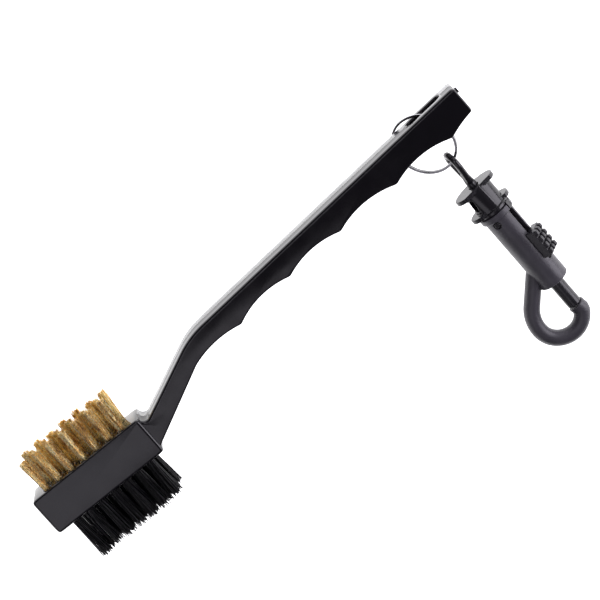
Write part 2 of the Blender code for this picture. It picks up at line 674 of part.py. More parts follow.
def main():
    for old in list(bpy.data.objects):
        bpy.data.objects.remove(old, do_unlink=True)
    handle_black = plastic("glossy_black_plastic", (0.012, 0.012, 0.014), 0.22)
    snap_black = plastic("satin_black_plastic", (0.025, 0.025, 0.028), 0.42)
    nylon_black = plastic("black_nylon", (0.01, 0.01, 0.012), 0.35)
    brass = material("brass_wire", (0.68, 0.47, 0.19), 0.3, 1.0)
    ring_steel = material("plated_steel", (0.75, 0.75, 0.76), 0.12, 1.0)
    spring_steel = material("spring_steel", (0.5, 0.5, 0.52), 0.3, 1.0)

    root = bpy.data.objects.new("brush_on_its_side", None)
    bpy.context.scene.collection.objects.link(root)
    root.rotation_euler = (0, -lying_tilt(), 0)

    make_handle(root, handle_black)
    make_tufts("brass", 1, BRASS_LENGTHS, BRASS_LEANS, root, brass)
    make_tufts("nylon", -1, NYLON_LENGTHS, NYLON_LEANS, root, nylon_black)
    make_ring(root, ring_steel)
    snap = snap_frame(root)
    make_swivel_eye(snap, snap_black)
    make_swivel_cap(snap, snap_black)
    make_snap_body(snap, snap_black)
    make_bolt_plunger(snap, snap_black)
    make_bolt_spring(snap, spring_steel)
    stand_on_origin(root)


main()
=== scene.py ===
"""The looks of the club groove brush: filaments, mouldings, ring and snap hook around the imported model.

Lengths are in metres. The handle frame and the snap frame are the two that the pieces were measured in:
the handle's has +X along the grip towards the butt end, +Y out of the spine and +Z out of the side that
faces up; the snap's has +Z down the snap's axis to its hook and +Y out of the side that faces up.
"""

import json
import random
from math import asin, atan2, cos, exp, pi, radians, sin, sqrt, tan

import bmesh
import bpy
from mathutils import Matrix, Vector


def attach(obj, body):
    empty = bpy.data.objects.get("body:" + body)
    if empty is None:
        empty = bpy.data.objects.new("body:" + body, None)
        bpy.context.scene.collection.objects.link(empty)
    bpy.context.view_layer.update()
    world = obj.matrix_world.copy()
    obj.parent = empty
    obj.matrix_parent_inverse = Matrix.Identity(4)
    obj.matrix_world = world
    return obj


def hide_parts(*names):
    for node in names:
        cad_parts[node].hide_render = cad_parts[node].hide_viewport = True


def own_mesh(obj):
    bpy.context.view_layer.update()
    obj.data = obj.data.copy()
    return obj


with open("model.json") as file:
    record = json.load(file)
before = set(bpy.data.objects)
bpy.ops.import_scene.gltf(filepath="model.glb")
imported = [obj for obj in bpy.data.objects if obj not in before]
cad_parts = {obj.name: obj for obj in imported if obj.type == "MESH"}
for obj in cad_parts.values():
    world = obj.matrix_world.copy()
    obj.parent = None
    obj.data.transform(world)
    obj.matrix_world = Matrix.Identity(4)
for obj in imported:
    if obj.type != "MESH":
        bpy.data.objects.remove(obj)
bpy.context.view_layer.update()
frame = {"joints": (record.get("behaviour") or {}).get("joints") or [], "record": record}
MM = 0.001
BEYOND = 1.0 * MM
# Radius of the tiny rings that close a turned solid's ends on its axis
AXIS_RADIUS = 0.02 * MM


# ----------------------------------------------------------------------------------------------- frames

def frame_of(x_axis, y_axis, z_axis, origin):
    turn = Matrix((x_axis, y_axis, z_axis)).transposed().to_4x4()
    return Matrix.Translation(origin) @ turn


def joint(name):
    return next(j for j in frame["joints"] if j["name"] == name)


def mount(name):
    return next(m for m in frame["record"]["mounts"] if m["name"] == name)


UP = Vector(mount("block_near_side")["axis"]).normalized()
SPINEWARD = Vector((0, 1, 0))
BLOCK_CENTRE = Vector((-158.1, -12.1, 0.0)) * MM
BLOCK_DEPTH = 12.7 * MM
_block_turn = frame_of(SPINEWARD.cross(UP), SPINEWARD, UP, (0, 0, 0))
_near_side = Vector(mount("block_near_side")["pos_m"])
_offset = _near_side - _block_turn @ (BLOCK_CENTRE + Vector((0, 0, BLOCK_DEPTH / 2)))
HANDLE = Matrix.Translation(_offset) @ _block_turn

SWIVEL_AT = 14.0 * MM
_snap_axis = Vector(joint("snap_swivel")["axis"]).normalized()
_snap_up = Vector(mount("snap_hook")["axis"]).normalized()
_snap_origin = Vector(joint("snap_swivel")["pos_m"]) - _snap_axis * SWIVEL_AT
SNAP = frame_of(_snap_up.cross(_snap_axis), _snap_up, _snap_axis, _snap_origin)

_ring_axis = Vector(joint("ring_turn")["axis"]).normalized()
RING = frame_of(SPINEWARD.cross(_ring_axis), SPINEWARD, _ring_axis, Vector(joint("ring_turn")["pos_m"]))


# -------------------------------------------------------------------------------------------- materials

class Nodes:
    """Short calls for building a material's nodes."""

    def __init__(self, name, roughness, metallic=0.0):
        self.material = bpy.data.materials.new(name)
        self.material.use_nodes = True
        self.tree = self.material.node_tree
        self.shader = self.tree.nodes["Principled BSDF"]
        self.shader.inputs["Roughness"].default_value = roughness
        self.shader.inputs["Metallic"].default_value = metallic
        self.place = self.tree.nodes.new("ShaderNodeTexCoord").outputs["Object"]

    def set(self, socket, value):
        self.shader.inputs[socket].default_value = value

    def link(self, source, target):
        self.tree.links.new(source, target)

    def noise(self, scale, detail, stretch=(1, 1, 1)):
        mapping = self.tree.nodes.new("ShaderNodeMapping")
        mapping.inputs["Scale"].default_value = stretch
        self.link(self.place, mapping.inputs["Vector"])
        made = self.tree.nodes.new("ShaderNodeTexNoise")
        made.inputs["Scale"].default_value = scale
        made.inputs["Detail"].default_value = detail
        self.link(mapping.outputs["Vector"], made.inputs["Vector"])
        return made.outputs["Fac"]

    def ramp(self, source, stops):
        made = self.tree.nodes.new("ShaderNodeValToRGB")
        elements = made.color_ramp.elements
        while len(elements) < len(stops):
            elements.new(0.5)
        for element, (at, colour) in zip(elements, stops):
            element.position = at
            element.color = (*colour, 1.0)
        self.link(source, made.inputs["Fac"])
        return made.outputs["Color"]

    def range(self, source, low, high, from_low=0.3, from_high=0.7):
        made = self.tree.nodes.new("ShaderNodeMapRange")
        made.inputs["From Min"].default_value = from_low
        made.inputs["From Max"].default_value = from_high
        made.inputs["To Min"].default_value = low
        made.inputs["To Max"].default_value = high
        self.link(source, made.inputs["Value"])
        return made.outputs["Result"]

    def mix(self, factor, first, second):
        made = self.tree.nodes.new("ShaderNodeMix")
        made.data_type = "RGBA"
        for value, name in ((factor, "Factor_Float"), (first, "A_Color"), (second, "B_Color")):
            socket = next(s for s in made.inputs if s.identifier == name)
            if hasattr(value, "node"):
                self.link(value, socket)
            else:
                socket.default_value = value
        return next(s for s in made.outputs if s.identifier == "Result_Color")

    def edges(self, low, high):
        """How convex the surface is here, from 0 to 1."""
        geometry = self.tree.nodes.new("ShaderNodeNewGeometry")
        return self.range(geometry.outputs["Pointiness"], 0.0, 1.0, low, high)

    def bump(self, layers):
        """Bump from (height, depth) layers, one on top of another."""
        normal = None
        for height, depth in layers:
            made = self.tree.nodes.new("ShaderNodeBump")
            made.inputs["Strength"].default_value = 1.0
            made.inputs["Distance"].default_value = depth
            self.link(height, made.inputs["Height"])
            if normal:
                self.link(normal, made.inputs["Normal"])
            normal = made.outputs["Normal"]
        self.link(normal, self.shader.inputs["Normal"])


# Where pointiness starts and stops counting as a worn convex edge, and how deep each grain is
CONVEX_FROM_TO = (0.51, 0.6)
FILAMENT_RELIEF = 0.01 * MM
STEEL_RELIEF = 0.006 * MM


def moulded_plastic(name, colour, worn, roughness, grain, swirl):
    """Moulded black plastic: fine grain, slow waviness, and edges rubbed a little paler."""
    made = Nodes(name, roughness[0])
    cloud = made.noise(90.0, 4.0)
    darker = [c * 0.8 for c in colour]
    lighter = [c * 1.25 for c in colour]
    tone = made.ramp(cloud, [(0.3, darker), (0.7, lighter)])
    edge = made.edges(*CONVEX_FROM_TO)
    made.link(made.mix(edge, tone, (*worn, 1.0)), made.shader.inputs["Base Color"])
    made.link(made.range(made.noise(160.0, 5.0), *roughness), made.shader.inputs["Roughness"])
    made.bump([(made.noise(60.0, 2.0), swirl), (made.noise(2600.0, 2.0), grain)])
    made.set("IOR", 1.5)
    return made.material


def brass_wire():
    """Drawn brass whose tone varies in streaks along the wire."""
    made = Nodes("brass_wire", 0.3, 1.0)
    wire_tone = made.noise(900.0, 2.0, stretch=(1, 0.12, 1))
    colours = [(0.32, (0.44, 0.25, 0.09)), (0.45, (0.95, 0.71, 0.34)), (0.6, (1.0, 0.89, 0.56))]
    made.link(made.ramp(wire_tone, colours), made.shader.inputs["Base Color"])
    made.link(made.range(made.noise(1500.0, 3.0), 0.2, 0.34), made.shader.inputs["Roughness"])
    made.bump([(made.noise(5000.0, 2.0, stretch=(1, 0.1, 1)), FILAMENT_RELIEF)])
    return made.material


def nylon_filament():
    """Black nylon, with a weak sheen."""
    made = Nodes("black_nylon", 0.4)
    made.set("Specular IOR Level", 0.22)
    colours = [(0.3, (0.001, 0.001, 0.0013)), (0.7, (0.004, 0.0038, 0.0048))]
    made.link(made.ramp(made.noise(800.0, 2.0), colours), made.shader.inputs["Base Color"])
    made.link(made.range(made.noise(1200.0, 3.0), 0.28, 0.45), made.shader.inputs["Roughness"])
    made.bump([(made.noise(4000.0, 2.0, stretch=(1, 0.1, 1)), FILAMENT_RELIEF)])
    made.set("IOR", 1.53)
    return made.material


def drawn_steel(name, colour, roughness):
    """Plated wire with fine marks and faint stains."""
    made = Nodes(name, roughness[0], 1.0)
    dark = [c * 0.7 for c in colour]
    tone = made.ramp(made.noise(500.0, 4.0), [(0.35, dark), (0.6, colour)])
    made.link(tone, made.shader.inputs["Base Color"])
    made.link(made.range(made.noise(1800.0, 4.0), *roughness), made.shader.inputs["Roughness"])
    made.bump([(made.noise(3500.0, 3.0), STEEL_RELIEF)])
    return made.material


# ----------------------------------------------------------------------------------------- mesh building

def circle(radius, steps):
    return [(radius * cos(2 * pi * i / steps), radius * sin(2 * pi * i / steps)) for i in range(steps)]


def loft(rings, closed=False, into=None):
    """Joins rings of equally many points by quads, and caps the two ends unless the rings close."""
    built = into or bmesh.new()
    rows = [[built.verts.new(point) for point in ring] for ring in rings]
    count = len(rows[0])
    pairs = list(zip(rows, rows[1:]))
    if closed:
        pairs.append((rows[-1], rows[0]))
    for low, high in pairs:
        for i in range(count):
            j = (i + 1) % count
            built.faces.new((low[i], low[j], high[j], high[i]))
    if not closed:
        built.faces.new(rows[0])
        built.faces.new(rows[-1])
    return built


def rounded_profile(corners, steps=5):
    """An open (radius, height) profile whose (radius, height, rounding) corners become arcs."""
    points = []
    for i, (x, y, rounding) in enumerate(corners):
        here = Vector((x, y))
        if rounding == 0 or i in (0, len(corners) - 1):
            points.append(here)
            continue
        points += corner_arc(Vector(corners[i - 1][:2]), here, Vector(corners[i + 1][:2]), rounding, steps)
    return points


def corner_arc(before, here, after, radius, steps):
    back = (before - here).normalized()
    ahead = (after - here).normalized()
    half = back.angle(ahead) / 2
    centre = here + (back + ahead).normalized() * (radius / sin(half))
    start = here + back * (radius / tan(half)) - centre
    end = here + ahead * (radius / tan(half)) - centre
    turn = start.angle_signed(end)
    return [centre + Matrix.Rotation(-turn * k / steps, 2) @ start for k in range(steps + 1)]


def rounded_outline(corners, steps=6):
    """A closed outline whose (x, y, rounding) corners become arcs."""
    points = []
    for i, (x, y, rounding) in enumerate(corners):
        here = Vector((x, y))
        if rounding == 0:
            points.append(here)
            continue
        before = Vector(corners[i - 1][:2])
        after = Vector(corners[(i + 1) % len(corners)][:2])
        points += corner_arc(before, here, after, rounding, steps)
    return points


def turned(profile, steps=72, half_y=1.0):
    """A solid turned about Z from (radius, z) pairs; half_y squeezes it along Y."""
    return loft([[(x, y * half_y, z) for x, y in circle(radius, steps)] for radius, z in profile])


def cylinder(radius, low, high, steps=72):
    return turned([(radius, low), (radius, high)], steps)


def pin(radius, low, high, rounding, steps=72, half_y=1.0):
    """A turned solid with both its rims rounded."""
    profile = rounded_profile([(AXIS_RADIUS, low, 0), (radius, low, rounding), (radius, high, rounding),
                               (AXIS_RADIUS, high, 0)])
    return turned(profile, steps, half_y)


def box(low, high):
    corners = [(low[0], low[1]), (high[0], low[1]), (high[0], high[1]), (low[0], high[1])]
    return loft([[(x, y, z) for x, y in corners] for z in (low[2], high[2])])


def swept(path, binormal, sections, closed=False):
    """Sections of (in-plane, binormal) offsets carried along a path that lies in one plane."""
    rings = []
    for i, here in enumerate(path):
        ahead = path[(i + 1) % len(path)] if closed or i + 1 < len(path) else here
        behind = path[i - 1] if closed or i > 0 else here
        side = (ahead - behind).cross(binormal).normalized()
        rings.append([here + side * across + binormal * along for across, along in sections[i]])
    return loft(rings, closed)


def new_object(name, built, place, material=None, sharp=40.0):
    bmesh.ops.recalc_face_normals(built, faces=built.faces)
    mesh = bpy.data.meshes.new(name)
    built.to_mesh(mesh)
    built.free()
    mesh.transform(place)
    mesh.shade_smooth()
    mesh.set_sharp_from_angle(angle=radians(sharp))
    if material:
        mesh.materials.append(material)
    made = bpy.data.objects.new(name, mesh)
    bpy.context.scene.collection.objects.link(made)
    return made


def combine(target, operation, built, place):
    """Adds or cuts a shape, and leaves nothing but the result behind."""
    other = new_object("tool", built, place)
    step = target.modifiers.new(operation, "BOOLEAN")
    step.operation = operation
    step.object = other
    step.solver = "EXACT"
    settle(target)
    bpy.data.objects.remove(other, do_unlink=True)


def settle(target):
    """Makes what the modifiers show the object's own mesh."""
    bpy.context.view_layer.update()
    ready = target.evaluated_get(bpy.context.evaluated_depsgraph_get())
    mesh = bpy.data.meshes.new_from_object(ready)
    target.modifiers.clear()
    target.data = mesh


def soften(target, voxel, passes, material):
    """Remeshes a moulding so finely that its edges come out slightly rounded."""
    step = target.modifiers.new("fine", "REMESH")
    step.mode = "VOXEL"
    step.voxel_size = voxel
    smooth = target.modifiers.new("smooth", "SMOOTH")
    smooth.factor = 0.5
    smooth.iterations = passes
    settle(target)
    target.data.shade_smooth()
    target.data.materials.clear()
    target.data.materials.append(material)


# Voxel sizes that the small mouldings are remeshed at
FINE_VOXEL = 0.13 * MM
FINER_VOXEL = 0.11 * MM


def place_piece(piece, body, slot, *nodes):
    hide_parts(*nodes)
    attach(piece, body)


# ------------------------------------------------------------------------------------------------ handle

GRIP_DEPTH = 11.2 * MM
SPINE_EDGE = 1.1 * MM
GROOVE_EDGE = 0.5 * MM
NECK_BEND_X = -108.3 * MM
NECK_BEND_RADIUS = 30.0 * MM
NECK_SLOPE = radians(20.3)
NECK_ROOT_FILLET = 1.9 * MM
NECK_ROOT_STEP = 3.2 * MM
NECK_LOW_ROOT_Y = -18.5 * MM
NECK_LOW_ROOT_FILLET = 1.2 * MM
NECK_LOW_ROOT_STEP = 1.2 * MM
NECK_INSIDE_BLOCK = 8.0 * MM
BUTT_CORNER_RADIUS = 1.2 * MM
BUTT_LOW_CORNER_RADIUS = 0.9 * MM
# The underside's finger ridges in mm, and how deep the hollow after each one is
RIDGES = [(-112.5, -8.0), (-94.0, -8.35), (-73.4, -7.95), (-53.2, -8.55), (-31.5, -9.85),
          (-10.2, -11.15), (-0.4, -9.2)]
HOLLOWS = [1.35, 2.0, 1.9, 2.1, 2.1, 0.35]
SHORT_HOLLOW = 15 * MM
OUTLINE_STEP = 0.4 * MM
PARTING_RIDGE = 0.035 * MM
PARTING_HALF_WIDTH = 0.12 * MM

# What is left of the moulding's gate, an upright oval on the butt end
GATE_RADIUS = 0.55 * MM
GATE_TALLER = 1.7
GATE_FROM_TO = (-0.5 * MM, 0.6 * MM)
GATE_ROUNDING = 0.12 * MM
GATE_AT = Vector((-0.02, -2.3, 1.0)) * MM

SLOT_LENGTH = 13.0 * MM
SLOT_WIDTH = 4.8 * MM
SLOT_CENTRE_X = -11.3 * MM
SLOT_END_RADIUS = 2.0 * MM
SLOT_LIP = 0.5 * MM
SLOT_FROM_TO = (-20.0 * MM, 3.0 * MM)

BLOCK_LENGTH = 41.6 * MM
BLOCK_HEIGHT = 13.1 * MM
BLOCK_TURN = radians(-4.75)
BLOCK_EDGE = 0.9 * MM
BLOCK = Matrix.Translation(BLOCK_CENTRE) @ Matrix.Rotation(BLOCK_TURN, 4, "Z")

TUFTS_IN_ROW = (7, 6, 7)
TUFT_PITCH = 4.9 * MM
ROW_PITCH = 3.8 * MM
HOLE_RADIUS = 1.35 * MM
HOLE_DEPTH = 4.5 * MM
HOLE_FLARE = 0.2 * MM


def rear_face_x(y):
    """Where the block's tilted rear face is at this height, in the handle frame."""
    rear = BLOCK @ Vector((BLOCK_LENGTH / 2, 0, 0))
    return rear.x - (y - rear.y) * tan(BLOCK_TURN)


def hollow_between(start, end, sag, steps):
    """The arc between two finger ridges, without its first point."""
    chord = end - start
    across = Vector((-chord.y, chord.x)).normalized()
    radius = (chord.length ** 2 / 4 + sag ** 2) / (2 * sag)
    centre = (start + end) / 2 + across * (sag - radius)
    half = asin(chord.length / 2 / radius)
    middle = atan2(across.y, across.x)
    turns = [middle + half - 2 * half * k / steps for k in range(1, steps + 1)]
    return [centre + radius * Vector((cos(turn), sin(turn))) for turn in turns]


def handle_outline():
    """Grip, neck and the neck's root inside the block, seen from the side that faces up."""
    root_y = -(NECK_BEND_X - BLOCK_CENTRE.x - BLOCK_LENGTH / 2) * tan(NECK_SLOPE)
    above_root_y = root_y + NECK_ROOT_STEP
    low_root_y = NECK_LOW_ROOT_Y - NECK_LOW_ROOT_STEP
    inside_x = rear_face_x(root_y) - NECK_INSIDE_BLOCK
    ridges = [Vector(ridge) * MM for ridge in RIDGES]
    corners = [
        (0, 0, BUTT_CORNER_RADIUS),
        (NECK_BEND_X, 0, NECK_BEND_RADIUS),
        (rear_face_x(root_y), root_y, NECK_ROOT_FILLET),
        (rear_face_x(above_root_y), above_root_y, 0),
        (inside_x, above_root_y, 0),
        (inside_x, low_root_y, 0),
        (rear_face_x(low_root_y), low_root_y, 0),
        (rear_face_x(NECK_LOW_ROOT_Y), NECK_LOW_ROOT_Y, NECK_LOW_ROOT_FILLET),
        (*ridges[0], 0),
    ]
    for start, end, sag in zip(ridges, ridges[1:], HOLLOWS):
        steps = 24 if (end - start).length > SHORT_HOLLOW else 5
        corners += [(*point, 0) for point in hollow_between(start, end, sag * MM, steps)]
    corners[-1] = (*ridges[-1], BUTT_LOW_CORNER_RADIUS)
    return evenly_spaced(rounded_outline(corners, 24), OUTLINE_STEP)


def evenly_spaced(outline, step):
    """The closed outline with a point every step, its sharp corners eased by averaging neighbours."""
    points = []
    for i, start in enumerate(outline):
        end = outline[(i + 1) % len(outline)]
        count = max(1, round((end - start).length / step))
        if (end - start).length < step / 3 and points and (start - points[-1]).length < step / 2:
            continue
        points += [start.lerp(end, k / count) for k in range(count)]
    for _ in range(2):
        points = [(points[i - 1] + points[i] * 2 + points[(i + 1) % len(points)]) / 4
                  for i in range(len(points))]
    return points


def outward_normals(outline):
    normals = []
    for i in range(len(outline)):
        along = outline[(i + 1) % len(outline)] - outline[i - 1]
        normals.append(Vector((along.y, -along.x)).normalized())
    return normals


def edge_rounded_prism(outline, depth, edge_radius, steps=6, ridge=0.0):
    """The outline with thickness along Z; edge_radius gives the rim's rounding from a point's normal."""
    normals = outward_normals(outline)
    half = depth / 2
    turns = [pi / 2 * k / steps for k in range(steps + 1)]
    layers = []
    for side in (-1, 1):
        for turn in (reversed(turns) if side < 0 else turns):
            layers.append((1 - cos(turn), side, sin(turn)))
        if side < 0 and ridge:
            layers += [(0, 0, -1), (-1, 0, 0), (0, 0, 1)]
    rings = []
    for inward, side, rise in layers:
        ring = []
        for point, normal in zip(outline, normals):
            radius = edge_radius(normal)
            if side:
                moved = point - normal * radius * inward
                ring.append((moved.x, moved.y, side * (half - radius * (1 - rise))))
            else:
                moved = point - normal * ridge * inward
                ring.append((moved.x, moved.y, rise * PARTING_HALF_WIDTH))
        rings.append(ring)
    return loft(rings)


def rounded_rectangle(half_length, half_width, radius, steps=8):
    """A rectangle with rounded corners."""
    corners = [(half_length, -half_width), (half_length, half_width),
               (-half_length, half_width), (-half_length, -half_width)]
    return rounded_outline([(x, y, radius) for x, y in corners], steps)


def slot_cutter():
    """The slot's shape along Y, flared where it leaves the spine."""
    levels = [(SLOT_FROM_TO[0], 0.0)]
    for k in range(7):
        turn = pi / 2 * k / 6
        levels.append((-SLOT_LIP * (1 - sin(turn)), SLOT_LIP * (1 - cos(turn))))
    levels.append((SLOT_FROM_TO[1], SLOT_LIP))
    rings = []
    for y, grown in levels:
        half_length, half_width = SLOT_LENGTH / 2 + grown, SLOT_WIDTH / 2 + grown
        outline = rounded_rectangle(half_length, half_width, SLOT_END_RADIUS + grown)
        rings.append([(point.x + SLOT_CENTRE_X, y, point.y) for point in outline])
    return loft(rings)


def tuft_places():
    """Each tuft's row, number, and place on the block; the middle row is set off by half a pitch."""
    for row, count in enumerate(TUFTS_IN_ROW):
        for number in range(count):
            x = (number - (count - 1) / 2) * TUFT_PITCH
            z = ((len(TUFTS_IN_ROW) - 1) / 2 - row) * ROW_PITCH
            yield row, number, x, z


def tuft_hole_cutters(side):
    """The blind holes of one side, each with a slight flare at its mouth."""
    cutters = bmesh.new()
    surface = BLOCK_HEIGHT / 2
    mouth = HOLE_RADIUS + HOLE_FLARE
    levels = [(surface - HOLE_DEPTH, HOLE_RADIUS), (surface - HOLE_FLARE, HOLE_RADIUS),
              (surface + HOLE_FLARE / 4, mouth), (surface + BEYOND, mouth)]
    for _, _, x, z in tuft_places():
        rings = [[(x + a, side * y, z + b) for a, b in circle(radius, 20)] for y, radius in levels]
        loft(rings, into=cutters)
    return cutters


def make_handle(material):
    def grip_edge(normal):
        return GROOVE_EDGE + (SPINE_EDGE - GROOVE_EDGE) * max(0.0, normal.y)

    grip = edge_rounded_prism(handle_outline(), GRIP_DEPTH, grip_edge, ridge=PARTING_RIDGE)
    made = new_object("brush_handle", grip, HANDLE)
    corners_rounded = rounded_rectangle(BLOCK_LENGTH / 2, BLOCK_HEIGHT / 2, BLOCK_EDGE)
    block_outline = evenly_spaced(corners_rounded, OUTLINE_STEP * 2)
    block = edge_rounded_prism(block_outline, BLOCK_DEPTH, lambda normal: BLOCK_EDGE)
    combine(made, "UNION", block, HANDLE @ BLOCK)
    gate = pin(GATE_RADIUS, *GATE_FROM_TO, GATE_ROUNDING, 24, GATE_TALLER)
    gate_place = Matrix.Translation(GATE_AT) @ Matrix.Rotation(pi / 2, 4, "Y")
    combine(made, "UNION", gate, HANDLE @ gate_place)
    combine(made, "DIFFERENCE", slot_cutter(), HANDLE)
    for side in (1, -1):
        combine(made, "DIFFERENCE", tuft_hole_cutters(side), HANDLE @ BLOCK)
    made.data.shade_smooth()
    made.data.set_sharp_from_angle(angle=radians(32.0))
    made.data.materials.clear()
    made.data.materials.append(material)
    place_piece(made, "brush", "handle_plastic", "handle")


# ------------------------------------------------------------------------------------------------- tufts

# Turning by the golden angle spreads filaments over a hole as seeds fill a sunflower
GOLDEN_ANGLE = 2.39996
ROOT_DEPTH = HOLE_DEPTH * 0.7


def filament(built, root, tip_offset, spec, radius, phase, cut):
    """One filament from root to root + tip_offset, bowed and crimped a little, with a slanting end.

    phase holds where the crimp starts in each direction and how far the filament bows.
    """
    direction = tip_offset.normalized()
    across = direction.cross(Vector((0, 0, 1))).normalized()
    other = direction.cross(across)
    amount, wavelength = spec["crimp"]
    segments = spec["segments"]
    length = tip_offset.length
    rings = []
    for k in range(segments + 1):
        t = k / segments
        grown = amount * min(1.0, 3 * t)
        wave = grown * sin(2 * pi * t * length / wavelength + phase[0])
        sway = grown * cos(2 * pi * t * length / wavelength * 0.77 + phase[1])
        bow = phase[2] * t * (1 - t)
        centre = root + tip_offset * t + across * (wave + bow) + other * sway
        ring = []
        for a, b in circle(radius, spec["sides"]):
            slant = cut * a if k == segments else 0.0
            ring.append(centre + across * a + other * b + direction * slant)
        rings.append(ring)
    loft(rings, into=built)


def make_tufts(kind, side, spec, material, slot):
    """One side's tufts, each a bundle of single filaments."""
    draws = random.Random(spec["seed"])
    for row, number, x, z in tuft_places():
        along = 0.5 + x / TUFT_PITCH / (max(TUFTS_IN_ROW) - 1)
        length = spec["length"][0] + (spec["length"][1] - spec["length"][0]) * along
        length += draws.uniform(-0.3, 0.3) * MM
        lean_x = spec["lean"][0] + (spec["lean"][1] - spec["lean"][0]) * along
        lean_x += radians(draws.uniform(-1.0, 1.0))
        lean_z = spec["row_lean"] * z / ROW_PITCH + radians(draws.uniform(-1.0, 1.0))
        built = bmesh.new()
        for i in range(spec["count"]):
            share = sqrt((i + 0.5) / spec["count"])
            turn = i * GOLDEN_ANGLE + draws.uniform(-0.2, 0.2)
            outward = Vector((cos(turn), 0, sin(turn))) * share
            at_root = outward * spec["root_radius"]
            at_tip = outward * spec["tip_radius"] * draws.uniform(0.82, 1.12)
            reach = length + draws.uniform(*spec["ragged"])
            stray = draws.uniform(0.0, 1.0) ** 6 * spec["stray"]
            wander = Vector((draws.uniform(-1, 1), 0, draws.uniform(-1, 1))) * stray
            bow = 0.03 * (reach + ROOT_DEPTH)
            start = Vector((0, -ROOT_DEPTH, 0)) + at_root
            end = Vector((reach * tan(lean_x), reach, reach * tan(lean_z))) + at_tip + wander
            phase = (draws.uniform(0, 2 * pi), draws.uniform(0, 2 * pi), draws.uniform(-1, 1) * bow)
            radius = spec["radius"] * draws.uniform(0.9, 1.1)
            filament(built, start, end - start, spec, radius, phase, draws.uniform(-0.6, 0.6))
        for vertex in built.verts:
            vertex.co.y *= side
        place = HANDLE @ BLOCK @ Matrix.Translation((x, side * BLOCK_HEIGHT / 2, z))
        piece = new_object(f"{kind}_bundle_{row + 1}_{number + 1}", built, place, material, 60.0)
        place_piece(piece, "brush", slot, f"{kind}_tuft_{row + 1}_{number + 1}")


# Lengths and leans are for the first and the last tuft of a row
BRASS = {
    "seed": 11, "count": 76, "radius": 0.095 * MM, "sides": 5, "segments": 12,
    "length": (11.2 * MM, 11.2 * MM), "lean": (0.0, radians(4.5)), "row_lean": radians(4.5),
    "root_radius": 1.1 * MM, "tip_radius": 1.45 * MM, "ragged": (-0.6 * MM, 0.5 * MM),
    "crimp": (0.03 * MM, 2.2 * MM), "stray": 0.8 * MM,
}
NYLON = {
    "seed": 23, "count": 60, "radius": 0.14 * MM, "sides": 6, "segments": 8,
    "length": (13.8 * MM, 13.4 * MM), "lean": (radians(6.5), radians(1.0)), "row_lean": radians(4.5),
    "root_radius": 1.15 * MM, "tip_radius": 2.3 * MM, "ragged": (-0.9 * MM, 0.5 * MM),
    "crimp": (0.02 * MM, 4.0 * MM), "stray": 0.7 * MM,
}


# -------------------------------------------------------------------------------------------- split ring

RING_OUTER_RADIUS = 10.3 * MM
RING_BAND = 0.8 * MM
COIL_THICKNESS = 0.48 * MM
COIL_GAP = 0.04 * MM
RING_SEAM = radians(16.0)
RING_SEAM_AT = radians(70.0)
RING_STEPS = 420
WIRE_ROUNDING = 0.14 * MM


def make_ring(material):
    """Two flat turns of wire, with both of its ends beside the step between them."""
    middle = RING_OUTER_RADIUS - RING_BAND / 2
    outline = rounded_rectangle(RING_BAND / 2, COIL_THICKNESS / 2, WIRE_ROUNDING, 3)
    first = RING_SEAM * 1.1
    last = 4 * pi - RING_SEAM * 1.1
    rings = []
    for i in range(RING_STEPS + 1):
        turn = first + (last - first) * i / RING_STEPS
        step = min(1.0, max(0.0, (turn - 2 * pi + RING_SEAM) / (2 * RING_SEAM)))
        height = (COIL_THICKNESS + COIL_GAP) * (step * step * (3 - 2 * step) - 0.5)
        angle = turn + RING_SEAM_AT
        # The wire's ends are dressed thinner
        end = min(1.0, 0.55 + min(i, RING_STEPS - i) / 8)
        section = [(middle + p.x * end, height + p.y * end) for p in outline]
        rings.append([(radius * cos(angle), radius * sin(angle), z) for radius, z in section])
    piece = new_object("steel_split_ring", loft(rings), RING, material, 50.0)
    place_piece(piece, "ring", "ring_steel", "split_ring")


# ------------------------------------------------------------------------------------------------- snap

EYE_TWIST = radians(-10.0)
EYE_BAR = 2.05 * MM
EYE_TOP_RADIUS = 3.25 * MM
EYE_TOP_CENTRE = 2.925 * MM
EYE_FOOT_RADIUS = 1.1 * MM
EYE_FOOT_CENTRE = 9.3 * MM
SHANK_RADIUS = 1.6 * MM
EYE_HEAD_RADIUS = 2.2 * MM
EYE_HEAD_FROM = 15.1 * MM
EYE_HEAD_TO = 16.9 * MM

CAP_TURN = radians(-16.0)
PARTING_TURN = radians(21.0)
PARTING_LINE_HALF_WIDTH = 0.11 * MM
CAP_TOP = 12.3 * MM
FLANGE_THICKNESS = 1.4 * MM
FLANGE_HALF = (7.35 * MM, 4.6 * MM)
FLANGE_SHIFT = -0.2 * MM
FLANGE_FLAT = 3.1 * MM
WAIST_HALF = (5.0 * MM, 3.2 * MM)
WAIST_FOOT_HALF = (5.0 * MM, 4.3 * MM)
LOWER_FLANGE = 19.9 * MM
CAP_BASE_RADIUS = 5.15 * MM
CAP_BASE_FROM = 20.9 * MM
CAP_BASE_TO = 22.0 * MM
CHAMBER_RADIUS = 2.5 * MM
CHAMBER_FROM = 14.7 * MM
CHAMBER_TO = 19.0 * MM
CAP_HOLE_RADIUS = 1.75 * MM
WINDOW_WIDTH = 4.2 * MM
PLUG_RADIUS = 3.3 * MM
PLUG_END = 28.0 * MM
NUB_RADIUS = 1.0 * MM
NUB_HOLE_RADIUS = 1.25 * MM
NUB_AT = 25.5 * MM
NUB_TURN = radians(118.0)
KEY_WIDTH = 1.7 * MM
CAP_EDGE = 0.15 * MM
FLANGE_EDGE = 0.12 * MM

